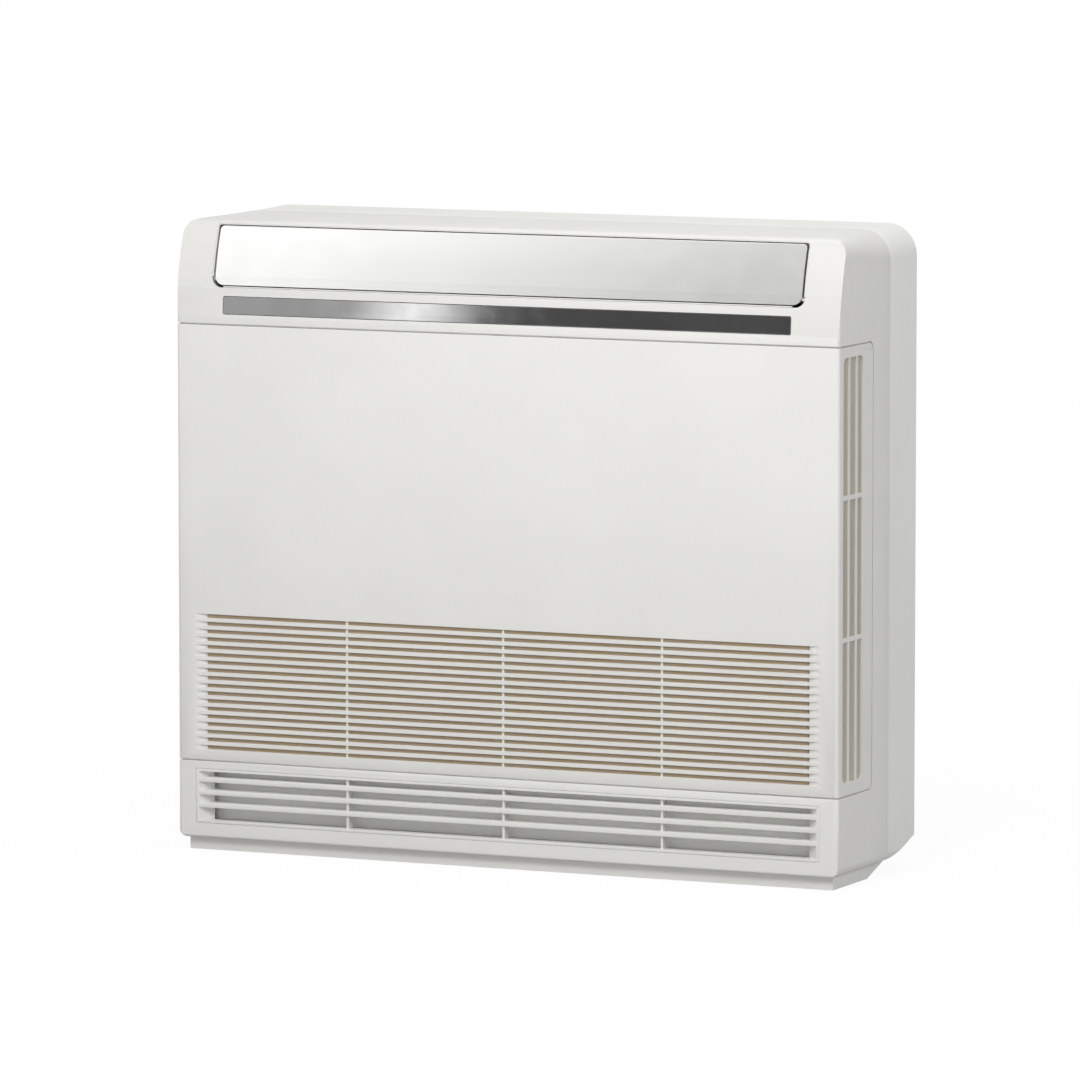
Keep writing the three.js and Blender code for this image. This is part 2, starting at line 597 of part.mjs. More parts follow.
const fan = {
  radius: 162, hubPlateY: 54, plate: 2.5, eye: 117, shroudY: 2, rimY: 16, blades: 7, bladeThick: 2.6,
  rootRadius: 88, sides: 28, bladeSteps: 4, noseRadius: 24, noseY: 14, coneRadius: 58, bore: 5.3
};

// Backward-curved blades between a dished hub plate and a shroud ring.
function turboFan() {
  const back = fan.hubPlateY;
  const hub = turned([
    [fan.bore, fan.noseY], [fan.noseRadius, fan.noseY], [fan.noseRadius + 12, fan.noseY + 6],
    [fan.coneRadius, fan.noseY + 24], [fan.coneRadius + 14, back - fan.plate - 4],
    [fan.coneRadius + 26, back - fan.plate], [fan.radius, back - fan.plate], [fan.radius, back],
    [fan.coneRadius + 24, back], [fan.coneRadius + 11, back - 4], [fan.coneRadius - 3, fan.noseY + 24],
    [fan.noseRadius + 9, fan.noseY + 9], [fan.noseRadius - 4, fan.noseY + 3.5], [9, fan.noseY + 3.5],
    [9, fan.noseY + 16], [fan.bore, fan.noseY + 16]
  ], [axle.x, axle.z], fan.sides);
  const shroud = turned([
    [fan.eye, fan.shroudY], [fan.eye + 2, fan.shroudY], [fan.eye + 6, fan.shroudY + 7],
    [fan.eye + 20, fan.rimY - 3], [fan.radius, fan.rimY], [fan.radius, fan.rimY + 2],
    [fan.eye + 19, fan.rimY - 1], [fan.eye + 4, fan.shroudY + 8]
  ], [axle.x, axle.z], fan.sides);
  const between = turned([
    [fan.rootRadius - 12, fan.shroudY + 9], [fan.eye + 5, fan.shroudY + 8], [fan.eye + 19.5, fan.rimY - 2],
    [fan.radius - 0.5, fan.rimY + 1], [fan.radius - 0.5, back - 1], [fan.rootRadius - 12, back - 1]
  ], [axle.x, axle.z], fan.sides);
  const blades = [];
  for (let i = 0; i < fan.blades; i += 1) {
    const turn = (i / fan.blades) * Math.PI * 2;
    const edge = (offset) => {
      const points = [];
      for (let step = 0; step <= fan.bladeSteps; step += 1) {
        const along = step / fan.bladeSteps;
        const radius = THREE.MathUtils.lerp(fan.rootRadius, fan.radius - 1, along);
        const angle = turn - 0.95 * along + 0.22 * along * along + offset / radius;
        points.push([axle.x + radius * Math.cos(angle), axle.z + radius * Math.sin(angle)]);
      }
      return points;
    };
    const outline = polygon([...edge(-fan.bladeThick / 2), ...edge(fan.bladeThick / 2).reverse()]);
    blades.push(prism('y', outline, 0, back).intersect(between));
  }
  return joined(hub, shroud, ...blades);
}
addPiece('turbo_fan', turboFan(), colours.fan, 0.5);

const motor = { radius: 49, frontY: 36, rearY: 76, shaft: 5, shaftTip: 15 };
addPiece('fan_motor', turned([
  [0, motor.shaftTip], [motor.shaft, motor.shaftTip], [motor.shaft, motor.frontY - 4], [14, motor.frontY - 4],
  [14, motor.frontY], [motor.radius - 5, motor.frontY], [motor.radius, motor.frontY + 5],
  [motor.radius, motor.rearY - 3], [motor.radius - 3, motor.rearY], [0, motor.rearY]
], [axle.x, axle.z], 18), colours.steel, 0.45, 0.6);

const postFront = backY - rear.backWall - rear.postReach;
const bracket = { thick: 2.4, ring: 60, armWide: 22 };

function motorBracket() {
  const y = [motor.rearY + fit, motor.rearY + fit + bracket.thick];
  const centre = [axle.x, axle.z];
  const arms = [1, -1].map((slope) => {
    const reach = motorPost.spread + 9;
    const w = bracket.armWide / 2 * Math.SQRT1_2;
    return prism('y', polygon([
      [axle.x - reach - w, axle.z - slope * (reach) + slope * w], [axle.x - reach + w, axle.z - slope * reach - slope * w],
      [axle.x + reach + w, axle.z + slope * reach - slope * w], [axle.x + reach - w, axle.z + slope * reach + slope * w]
    ]), ...y);
  });
  const ring = rod('y', bracket.ring, ...y, centre, 32);
  return cut(joined(ring, ...arms), rod('y', 26, y[0] - overlap, y[1] + overlap, centre, 24));
}
addPiece('motor_bracket', motorBracket(), colours.steel, 0.4, 0.8);

// ---------------------------------------------------------------- heat exchanger and water
const coil = {
  x: 286, frontY: -60, rearY: -24, bottom: 89.3, top: 476, fins: 28, fin: 2.6, web: 2,
  plate: 1.8, bendRadius: 12.7, tube: 4, leftBends: 4, rightBends: 3, pitch: 84, fromTop: 44
};

// A hairpin bend of tube, standing out sideways from an end plate.
function hairpin(x, sign, y, z) {
  const curve = new THREE.CatmullRomCurve3([0, 0.25, 0.5, 0.75, 1].map((along) => new THREE.Vector3(
    x + sign * coil.bendRadius * Math.sin(Math.PI * along), y, z - coil.bendRadius * Math.cos(Math.PI * along)
  )));
  return pipeAlong(curve, coil.tube, 6, 5);
}

// A round tube pushed along a curve.
function pipeAlong(curve, radius, steps, sides) {
  const disc = new THREE.Shape();
  for (let i = 0; i < sides; i += 1) {
    const angle = (i / sides) * Math.PI * 2;
    if (i === 0) disc.moveTo(radius, 0);
    else disc.lineTo(radius * Math.cos(angle), radius * Math.sin(angle));
  }
  const body = solid(new THREE.ExtrudeGeometry(disc, { steps, bevelEnabled: false, extrudePath: curve }));
  return body;
}

// Upright fins on a middle web that stands for the tube rows.
function finBlock() {
  const block = box([-coil.x, coil.x], [coil.frontY, coil.rearY], [coil.bottom, coil.top]);
  const pitch = (2 * coil.x - coil.fin) / (coil.fins - 1);
  const middle = (coil.frontY + coil.rearY) / 2;
  const gaps = [];
  for (let i = 0; i < coil.fins - 1; i += 1) {
    const x = -coil.x + coil.fin + i * pitch;
    for (const y of [[coil.frontY - overlap, middle - coil.web / 2], [middle + coil.web / 2, coil.rearY + overlap]]) {
      gaps.push(box([x, x + pitch - coil.fin], y, [coil.bottom - overlap, coil.top + overlap]));
    }
  }
  return cut(block, ...gaps);
}
addPiece('evaporator_fins', finBlock(), colours.fin, 0.35, 0.7);

for (const [name, sign, bends] of [['left', -1, coil.leftBends], ['right', 1, coil.rightBends]]) {
  const x = [sign * (coil.x + fit), sign * (coil.x + fit + coil.plate)].sort((a, b) => a - b);
  const plate = box(x, [coil.frontY, coil.rearY], [coil.bottom, coil.top]);
  const seat = sign * (coil.x + coil.plate);
  const hairpins = [];
  for (let i = 0; i < bends; i += 1) {
    const z = coil.top - coil.fromTop - i * coil.pitch;
    hairpins.push(hairpin(seat, sign, (coil.frontY + coil.rearY) / 2 + (i % 2 ? 7 : -7), z));
  }
  addPiece(`evaporator_end_${name}`, joined(plate, ...hairpins), colours.copper, 0.35, 0.8);
}

const pan = { x: 298, frontY: -68, rearY: -18.5, bottom: 86.8, top: 106, wall: 2.2, spout: 7, spoutX: 314, spoutZ: 96 };

function drainPan() {
  const tray = cut(
    box([-pan.x, pan.x], [pan.frontY, pan.rearY], [pan.bottom, pan.top]),
    box([-pan.x + pan.wall, pan.x - pan.wall], [pan.frontY + pan.wall, pan.rearY - pan.wall],
      [pan.bottom + pan.wall, pan.top + overlap])
  );
  const middle = [(pan.frontY + pan.rearY) / 2, pan.spoutZ];
  const spout = rod('x', pan.spout, pan.x - 1, pan.spoutX, middle, 12);
  return cut(joined(tray, spout), rod('x', pan.spout - 2, pan.x - 2 * pan.wall, pan.spoutX + overlap, middle, 12));
}
addPiece('drain_pan', drainPan(), colours.foam, 0.7);

// Two copper lines leave the coil's right end and turn back to the wall, each with its flare nut.
const lines = {
  liquid: { radius: 3.2, z: 130, y: -50, nut: 8.5 }, gas: { radius: 6.3, z: 156, y: -38, nut: 12 },
  bendX: 324, nutY: [58, 74], endY: 80
};
for (const [name, line] of [['liquid', lines.liquid], ['gas', lines.gas]]) {
  const start = coil.x + fit + coil.plate + fit;
  const curve = new THREE.CatmullRomCurve3([
    [start, line.y, line.z], [start + 14, line.y, line.z], [lines.bendX - 5, line.y + 9, line.z],
    [lines.bendX, line.y + 30, line.z], [lines.bendX, 20, line.z], [lines.bendX, lines.endY, line.z]
  ].map((point) => new THREE.Vector3(...point)), false, 'centripetal');
  addPiece(`${name}_pipe`, pipeAlong(curve, line.radius, 16, 8), colours.copper, 0.3, 0.9);
  const centre = [lines.bendX, line.z];
  const nut = rod('y', line.nut, ...lines.nutY, centre, 6);
  const bore = rod('y', line.radius + fit, lines.nutY[0] - overlap, lines.nutY[1] + overlap, centre, 12);
  addPiece(`${name}_flare_nut`, cut(nut, bore), colours.brass, 0.35, 0.9);
}

// ---------------------------------------------------------------- air filters
const guide = {
  x: 304, frontY: -84, rearY: -60.3, bottom: 106.3, top: 484, openX: 290, openBottom: 118, openTop: 476,
  slotFront: -80.7, slotRear: -75.3, slotX: 299, slotBottom: 112.7, middle: 4
};
const filter = {
  inX: 1.6, outX: 298.4, frontY: -80.2, rearY: -75.8, bottom: 113, top: 482, rim: 7, ribs: 2, rungs: 3,
  rib: 2, pane: 0.8, lift: 22
};

function filterGuide() {
  const block = box([-guide.x, guide.x], [guide.frontY, guide.rearY], [guide.bottom, guide.top]);
  const windows = [-1, 1].map((sideOf) => {
    const x = [sideOf * guide.middle, sideOf * guide.openX].sort((a, b) => a - b);
    return box(x, [guide.frontY - overlap, guide.rearY + overlap], [guide.openBottom, guide.openTop]);
  });
  const slot = box([-guide.slotX, guide.slotX], [guide.slotFront, guide.slotRear],
    [guide.slotBottom, guide.top + overlap]);
  return cut(block, ...windows, slot);
}
addPiece('filter_guide', filterGuide(), colours.frame, 0.6);

function airFilter(sign) {
  const span = (from, to) => [sign * from, sign * to].sort((a, b) => a - b);
  const y = [filter.frontY, filter.rearY];
  const frame = box(span(filter.inX, filter.outX), y, [filter.bottom, filter.top]);
  const window = box(span(filter.inX + filter.rim, filter.outX - filter.rim), [y[0] - overlap, y[1] + overlap],
    [filter.bottom + filter.rim, filter.top - filter.rim]);
  const middle = (y[0] + y[1]) / 2;
  const pane = box(span(filter.inX + 1, filter.outX - 1), [middle - filter.pane / 2, middle + filter.pane / 2],
    [filter.bottom + 1, filter.top - 1]);
  const bars = [];
  const ribY = [y[0] + 0.6, y[1] - 0.6];
  for (let i = 1; i <= filter.ribs; i += 1) {
    const x = THREE.MathUtils.lerp(filter.inX, filter.outX, i / (filter.ribs + 1));
    bars.push(box(span(x - filter.rib / 2, x + filter.rib / 2), ribY, [filter.bottom + 2, filter.top - 2]));
  }
  for (let i = 1; i <= filter.rungs; i += 1) {
    const z = THREE.MathUtils.lerp(filter.bottom, filter.top, i / (filter.rungs + 1));
    bars.push(box(span(filter.inX + 2, filter.outX - 2), ribY, [z - filter.rib / 2, z + filter.rib / 2]));
  }
  return joined(cut(frame, window), pane, ...bars);
}
addPiece('filter_left', airFilter(-1), colours.mesh, 0.8);
addPiece('filter_right', airFilter(1), colours.mesh, 0.8);

// ---------------------------------------------------------------- electrics
const control = { x: [302.8, 345], y: [-6, 86], z: [200, 440], wall: 2, cover: 2 };

function controlBox() {
  const inner = (range) => [range[0] + control.wall, range[1] - control.wall];
  const grommetHole = rod('z', 9, control.z[0] - overlap, control.z[0] + 2 * control.wall, [325, 55], 16);
  return cut(
    box(control.x, control.y, control.z),
    box(inner(control.x), [control.y[0] - overlap, control.y[1] - control.wall], inner(control.z)),
    grommetHole
  );
}
addPiece('control_box', controlBox(), colours.steel, 0.5, 0.7);
addPiece('control_box_cover', box(control.x, [control.y[0] - fit - control.cover, control.y[0] - fit], control.z),
  colours.steel, 0.5, 0.7);
addPiece('control_board', box([341, 342.7], [4, 80], [212, 428]), colours.board, 0.6);

function terminalBlock() {
  const base = box([305.1, 317], [8, 56], [230, 250]);
  const walls = [0, 1, 2, 3, 4].map((i) => box([316, 321], [8.5 + i * 11.2, 10 + i * 11.2], [230.5, 249.5]));
  return joined(base, ...walls);
}
addPiece('terminal_block', terminalBlock(), colours.dark, 0.5);
const grommet = new THREE.LatheGeometry([
  [5, -2.4], [12, -2.4], [12, -0.3], [8.7, -0.3], [8.7, 2.3], [11, 2.3], [11, 4], [5, 4], [5, -2.4]
].map(([r, z]) => new THREE.Vector2(r, z)), 10).rotateX(Math.PI / 2).translate(325, 55, control.z[0]);
addPiece('cable_grommet', solid(grommet), colours.dark, 0.7);

function stepper(axis, from, to, centre, radius = 10) {
  return rod(axis, radius, from, to, centre, 14);
}
const cheekOut = duct.cheek + duct.cheekWall + fit;
addPiece('blade_motor', stepper('x', cheekOut, cheekOut + 14, [-70, 577]), colours.steel, 0.4, 0.7);
addPiece('damper_motor', stepper('x', lowDuct.x + lowDuct.cheekWall + fit, 346.8, [-60, 62]), colours.steel, 0.4, 0.7);
for (const [name, sign] of [['left', -1], ['right', 1]]) {
  const x = [sign * 58, sign * 84].sort((a, b) => a - b);
  const low = panel.top + seam + wall + fit;
  addPiece(`vane_motor_${name}`, box(x, [-84, -66], [low, low + 17]), colours.steel, 0.4, 0.7);
}
addPiece('room_sensor', joined(
  box([guide.x + fit, guide.x + 9], [-80, -68], [300, 316]),
  rod('z', 3, 298, 334, [guide.x + 6, -74], 10)
), colours.dark, 0.5);

for (const [i, sx, sz] of [[1, -1, -1], [2, 1, -1], [3, -1, 1], [4, 1, 1]]) {
  const front = motor.rearY + fit;
  const head = turned([
    [0, front - 2.7], [3.4, front - 2.7], [4.4, front - 1.6], [4.4, front - fit], [0, front - fit]
  ], [axle.x + sx * motorPost.spread, axle.z + sz * motorPost.spread], 8);
  addPiece(`bracket_screw_${i}`, head, colours.steel, 0.35, 0.9);
}

export default unit;
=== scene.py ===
import json
import math
import bmesh
import bpy
from mathutils import Matrix, Vector

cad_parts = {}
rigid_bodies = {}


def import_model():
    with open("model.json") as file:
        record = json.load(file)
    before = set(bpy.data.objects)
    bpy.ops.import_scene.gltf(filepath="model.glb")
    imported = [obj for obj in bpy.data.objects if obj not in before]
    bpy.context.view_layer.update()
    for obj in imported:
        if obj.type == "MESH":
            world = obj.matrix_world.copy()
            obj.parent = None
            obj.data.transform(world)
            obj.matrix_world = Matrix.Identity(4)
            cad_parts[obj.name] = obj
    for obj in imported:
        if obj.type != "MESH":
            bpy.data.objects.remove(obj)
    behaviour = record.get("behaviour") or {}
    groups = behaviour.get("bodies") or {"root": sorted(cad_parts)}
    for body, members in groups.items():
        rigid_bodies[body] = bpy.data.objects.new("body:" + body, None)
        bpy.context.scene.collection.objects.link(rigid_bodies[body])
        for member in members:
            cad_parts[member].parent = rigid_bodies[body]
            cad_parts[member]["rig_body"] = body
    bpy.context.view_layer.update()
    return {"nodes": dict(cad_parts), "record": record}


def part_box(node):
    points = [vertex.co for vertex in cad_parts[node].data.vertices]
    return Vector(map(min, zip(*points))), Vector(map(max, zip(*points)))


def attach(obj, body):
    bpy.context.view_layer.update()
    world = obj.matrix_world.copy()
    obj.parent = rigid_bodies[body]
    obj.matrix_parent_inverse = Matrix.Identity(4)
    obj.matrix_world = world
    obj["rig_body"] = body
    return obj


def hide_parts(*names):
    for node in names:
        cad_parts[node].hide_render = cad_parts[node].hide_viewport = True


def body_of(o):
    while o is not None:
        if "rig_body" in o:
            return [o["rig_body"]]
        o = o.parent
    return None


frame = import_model()
print("frame loaded,", len(frame["nodes"]), "nodes")


# shader maths on sockets

class Wire:
    def __init__(self, tree, socket):
        self.tree = tree
        self.socket = socket

    def maths(self, operation, other, swapped=False):
        values = [other, self] if swapped else [self, other]
        return node(self.tree, "ShaderNodeMath", {"operation": operation}, dict(enumerate(values)))

    def __add__(self, other): return self.maths("ADD", other)
    def __radd__(self, other): return self.maths("ADD", other, True)
    def __sub__(self, other): return self.maths("SUBTRACT", other)
    def __rsub__(self, other): return self.maths("SUBTRACT", other, True)
    def __mul__(self, other): return self.maths("MULTIPLY", other)
    def __rmul__(self, other): return self.maths("MULTIPLY", other, True)
    def __truediv__(self, other): return self.maths("DIVIDE", other)


def node(tree, kind, settings=None, values=None, out=0):
    made = tree.nodes.new(kind)
    for name, value in (settings or {}).items():
        if name == "stops":
            while len(made.color_ramp.elements) < len(value):
                made.color_ramp.elements.new(0.5)
            for stop, (place, colour) in zip(made.color_ramp.elements, value):
                stop.position, stop.color = place, colour
        else:
            setattr(made, name, value)
    for name, value in (values or {}).items():
        if isinstance(value, Wire):
            tree.links.new(value.socket, made.inputs[name])
        else:
            made.inputs[name].default_value = value
    return Wire(tree, made.outputs[out])


class Finish:
    def __init__(self, name, colour, roughness, metallic=0.0, **fixed):
        self.material = bpy.data.materials.new(name)
        self.material.use_nodes = True
        self.tree = self.material.node_tree
        self.shader = self.tree.nodes["Principled BSDF"]
        self.set("Base Color", (*colour, 1.0))
        self.set("Roughness", roughness)
        self.set("Metallic", metallic)
        for socket, value in fixed.items():
            self.set(socket.replace("_", " "), value)
        self.place = self.node("ShaderNodeTexCoord", out=3)

    def node(self, kind, settings=None, values=None, out=0):
        return node(self.tree, kind, settings, values, out)

    def set(self, socket, value):
        if isinstance(value, Wire):
            self.tree.links.new(value.socket, self.shader.inputs[socket])
        else:
            self.shader.inputs[socket].default_value = value

    def noise(self, scale, detail, stretch=(1, 1, 1)):
        place = self.node("ShaderNodeMapping", values={"Vector": self.place, "Scale": stretch})
        return self.node("ShaderNodeTexNoise", values={"Vector": place, "Scale": scale, "Detail": detail})

    def between(self, value, low, high, toLow=0.0, toHigh=1.0):
        return self.node("ShaderNodeMapRange", {"interpolation_type": "SMOOTHSTEP"}, {
            0: value, 1: low, 2: high, 3: toLow, 4: toHigh})

    def blend(self, factor, first, second):
        colours = [(*c, 1.0) if isinstance(c, tuple) else c for c in (first, second)]
        return self.node("ShaderNodeMix", {"data_type": "RGBA"}, {
            0: factor, 6: colours[0], 7: colours[1]}, out=2)

    def bump(self, height, strength, distance):
        self.set("Normal", self.node("ShaderNodeBump", values={
            "Height": height, "Strength": strength, "Distance": distance}))


# finishes

def tinted(colour, by):
    return tuple(min(1.0, part * by) for part in colour)


plasticUsual = {"metallic": 0.0, "driftScale": 9, "dust": 0.03, "play": 0.04, "grainScale": 2600, "bump": 0.12,
                "fixed": {}, "paler": 1.01, "darker": 0.985, "dusted": 0.72, "flow": 1.5, "depth": 0.00006}


def mouldedPlastic(name, given):
    look = {**plasticUsual, **given}
    made = Finish(name, look["colour"], look["roughness"], look["metallic"], **look["fixed"])
    drift = made.noise(look["driftScale"], 3)
    speck = made.noise(420, 2)
    shade = made.blend(made.between(drift, 0.35, 0.68), tinted(look["colour"], look["darker"]),
                       tinted(look["colour"], look["paler"]))
    dust = made.between(speck, 0.66, 0.8, 0, look["dust"])
    made.set("Base Color", made.blend(dust, shade, tinted(look["colour"], look["dusted"])))
    made.set("Roughness", made.between(made.noise(38, 4), 0.3, 0.72, look["roughness"] - look["play"],
                                       look["roughness"] + look["play"]))
    grain = made.noise(look["grainScale"], 2)
    flow = made.noise(24, 2, (1, 1, 3))
    made.bump(grain + flow * look["flow"], look["bump"], look["depth"])
    return made.material


shellLook = {"colour": (0.81, 0.806, 0.782), "roughness": 0.42}
rearLook = {"colour": (0.9, 0.898, 0.866), "roughness": 0.47, "driftScale": 7}
bladeLook = {"colour": (0.8, 0.8, 0.79), "roughness": 0.2, "metallic": 0.62, "play": 0.03, "bump": 0.05,
             "grainScale": 900, "fixed": {"Coat_Weight": 0.3, "Coat_Roughness": 0.08}}
ductLook = {"colour": (0.9, 0.9, 0.87), "roughness": 0.6, "dust": 0.08}
darkLook = {"colour": (0.055, 0.055, 0.058), "roughness": 0.5, "dust": 0.12}
fanLook = {"colour": (0.34, 0.35, 0.36), "roughness": 0.5, "dust": 0.1}
guideLook = {"colour": (0.6, 0.56, 0.47), "roughness": 0.6, "dust": 0.08}


def brushedMetal(name, look):
    made = Finish(name, look["colour"], look["roughness"], 1.0)
    lines = made.noise(look["lineScale"], 2, look["stretch"])
    stain = made.noise(look.get("stainScale", 22), 4)
    shade = made.blend(made.between(stain, 0.4, 0.7), look["colour"], look["aged"])
    made.set("Base Color", shade)
    made.set("Roughness", made.between(lines, 0.3, 0.7, look["roughness"] - 0.07, look["roughness"] + 0.1))
    made.bump(lines + stain * 0.4, 0.2, 0.00008)
    return made.material


finLook = {"colour": (0.72, 0.73, 0.74), "aged": (0.6, 0.61, 0.61), "roughness": 0.34, "lineScale": 160,
           "stretch": (1, 1, 12)}
copperLook = {"colour": (0.78, 0.4, 0.24), "aged": (0.5, 0.25, 0.15), "roughness": 0.28, "lineScale": 210,
              "stretch": (1, 1, 1), "stainScale": 46}
steelLook = {"colour": (0.66, 0.67, 0.68), "aged": (0.52, 0.54, 0.56), "roughness": 0.36, "lineScale": 120,
             "stretch": (4, 1, 14), "stainScale": 60}
brassLook = {"colour": (0.76, 0.58, 0.28), "aged": (0.58, 0.42, 0.2), "roughness": 0.27, "lineScale": 260,
             "stretch": (1, 8, 1)}


windowLook = {"colour": (0.3, 0.3, 0.298), "roughness": 0.05, "mirror": 0.97, "smoke": 0.85, "play": 0.02}


def smokedWindow(look):
    made = Finish("smokedWindow", look["colour"], look["roughness"], look["mirror"])
    cloud = made.noise(14, 3)
    made.set("Base Color", made.blend(made.between(cloud, 0.3, 0.7), tinted(look["colour"], look["smoke"]),
                                      look["colour"]))
    made.set("Roughness", made.between(made.noise(60, 3), 0.35, 0.7, look["roughness"] - look["play"],
                                       look["roughness"] + look["play"]))
    made.bump(made.noise(700, 1), 0.02, 0.00002)
    return made.material


filterLook = {"thread": (0.44, 0.34, 0.22), "dusty": (0.46, 0.39, 0.3), "roughness": 0.72, "dust": 0.5}


def filterWeave(look):
    made = Finish("filterWeave", look["thread"], look["roughness"])
    threads = made.noise(1500, 2, (1, 1, 0.2))
    dust = made.between(made.noise(16, 4), 0.42, 0.75)
    made.set("Base Color", made.blend(dust * look["dust"], look["thread"], look["dusty"]))
    made.set("Roughness", made.between(threads, 0.3, 0.7, 0.62, 0.82))
    made.bump(threads, 0.3, 0.0001)
    return made.material


def drainFoam():
    made = Finish("drainFoam", (0.78, 0.78, 0.76), 0.85)
    cells = made.node("ShaderNodeTexVoronoi", values={"Vector": made.place, "Scale": 420})
    # the cell pits, sunk by the bump below, are painted darker than the cell walls: painted shade in the pores
    made.set("Base Color", made.blend(made.between(cells, 0.1, 0.6), (0.62, 0.62, 0.6), (0.8, 0.8, 0.78)))
    made.set("Roughness", made.between(cells, 0.1, 0.6, 0.92, 0.8))
    made.bump(cells, 0.5, 0.0004)
    return made.material


def circuitBoard():
    made = Finish("circuitBoard", (0.03, 0.14, 0.07), 0.38)
    tracks = made.node("ShaderNodeTexBrick", values={
        "Vector": made.place, "Scale": 90, "Mortar Size": 0.03, "Color1": (0.03, 0.13, 0.06, 1),
        "Color2": (0.04, 0.18, 0.09, 1), "Mortar": (0.14, 0.26, 0.12, 1)})
    made.set("Base Color", tracks)
    made.set("Roughness", made.between(made.noise(120, 3), 0.3, 0.7, 0.3, 0.5))
    made.bump(made.noise(300, 2), 0.15, 0.0001)
    return made.material


finishes = {
    "shell": mouldedPlastic("shellPlastic", shellLook),
    "rear_shell": mouldedPlastic("rearPlastic", rearLook),
    "blade_plastic": mouldedPlastic("bladePlastic", bladeLook),
    "window_tint": smokedWindow(windowLook),
    "duct_plastic": mouldedPlastic("ductPlastic", ductLook),
    "dark_plastic": mouldedPlastic("darkPlastic", darkLook),
    "fan_plastic": mouldedPlastic("fanPlastic", fanLook),
    "fin_metal": brushedMetal("finFoil", finLook),
    "coil_copper": brushedMetal("drawnCopper", copperLook),
    "steel": brushedMetal("zincedSteel", steelLook),
    "brass_nut": brushedMetal("turnedBrass", brassLook),
    "filter_mesh": filterWeave(filterLook),
    "guide_plastic": mouldedPlastic("guidePlastic", guideLook),
    "pan_foam": drainFoam(),
    "board_green": circuitBoard(),
}
slotOf = {row["node"]: row["material_slot"] for row in frame["record"]["subparts"]}
bodyOf = {name: body_of(made)[0] for name, made in frame["nodes"].items()}
for name, made in frame["nodes"].items():
    made.data.materials.clear()
    made.data.materials.append(finishes[slotOf[name]])
print("finishes made,", len(finishes))


# moulded edges: a copy of each visible moulding with its edges eased

merge = {"near": 4e-6, "flat": 0.6, "sliver": 2e-5}
sharpOver = 6
eased = {
    "front_cabinet": {"ease": 0.0009, "angle": 24, "steps": 2},
    "rear_cabinet": {"ease": 0.0009, "angle": 24, "steps": 2},
    "base_plinth": {"ease": 0.0008, "angle": 30, "steps": 2},
    "lower_grille": {"ease": 0.0006, "angle": 30, "steps": 2},
    "front_panel": {"ease": 0.0008, "angle": 24, "steps": 2},
    "display_window": {"ease": 0.0005, "angle": 30, "steps": 2, "whole": True},
    "top_blade": {"ease": 0.0008, "angle": 24, "steps": 2, "whole": True},
}


def finished(name, mesh, slot, *replaced):
    piece = bpy.data.objects.new(name, mesh)
    bpy.context.scene.collection.objects.link(piece)
    if not mesh.materials:
        mesh.materials.append(finishes[slot])
    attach(piece, bodyOf[replaced[0]])
    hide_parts(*replaced)
    return piece


def mergedCopy(name, whole=False):
    mesh = frame["nodes"][name].data.copy()
    shape = bmesh.new()
    shape.from_mesh(mesh)
    bmesh.ops.remove_doubles(shape, verts=shape.verts, dist=merge["near"])
    if whole:
        bmesh.ops.dissolve_limit(shape, angle_limit=math.radians(merge["flat"]), verts=shape.verts,
                                 edges=shape.edges)
    bmesh.ops.dissolve_degenerate(shape, dist=merge["sliver"], edges=shape.edges)
    shape.to_mesh(mesh)
    shape.free()
    return mesh


for name, look in eased.items():
    mesh = mergedCopy(name, look.get("whole", False))
    low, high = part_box(name)
    piece = bpy.data.objects.new(name + "_eased", mesh)
    bpy.context.scene.collection.objects.link(piece)
    edge = piece.modifiers.new("ease", "BEVEL")
    edge.width, edge.segments = look["ease"], look["steps"]
    edge.limit_method, edge.angle_limit = "ANGLE", math.radians(look["angle"])
    edge.use_clamp_overlap, edge.harden_normals = True, True
    edge.miter_outer = "MITER_ARC"
    mesh.shade_smooth()
    mesh.set_sharp_from_angle(angle=math.radians(look["angle"] + sharpOver))
    made = bpy.data.meshes.new_from_object(piece.evaluated_get(bpy.context.evaluated_depsgraph_get()))
    bpy.data.objects.remove(piece)
    made.materials.clear()
    # the easing may swell past a corner by a hair, so each point is held in its node's box
    for point in made.vertices:
        point.co = [min(max(place, least), most) for place, least, most in zip(point.co, low, high)]
    finished(name + "_moulding", made, slotOf[name], name)
    print("eased", name, len(made.polygons), "faces")


# geometry trees: one sets a unit out in rows, the other draws a bead along a path

def growingTree(name, inputs, build):
    tree = bpy.data.node_groups.new(name, "GeometryNodeTree")
    tree.interface.new_socket("Geometry", in_out="INPUT", socket_type="NodeSocketGeometry")
    for label, kind in inputs.items():
        tree.interface.new_socket(label, in_out="INPUT", socket_type="NodeSocket" + kind)
    tree.interface.new_socket("Geometry", in_out="OUTPUT", socket_type="NodeSocketGeometry")
    given = tree.nodes.new("NodeGroupInput")
    take = {label: Wire(tree, given.outputs[label]) for label in ("Geometry", *inputs)}
    whole = node(tree, "GeometryNodeRealizeInstances", values={"Geometry": build(tree, take)})
    finish = node(tree, "GeometryNodeSetMaterial", values={"Geometry": whole, "Material": take["finish"]})
    end = tree.nodes.new("NodeGroupOutput")
    tree.links.new(finish.socket, end.inputs["Geometry"])
    return tree


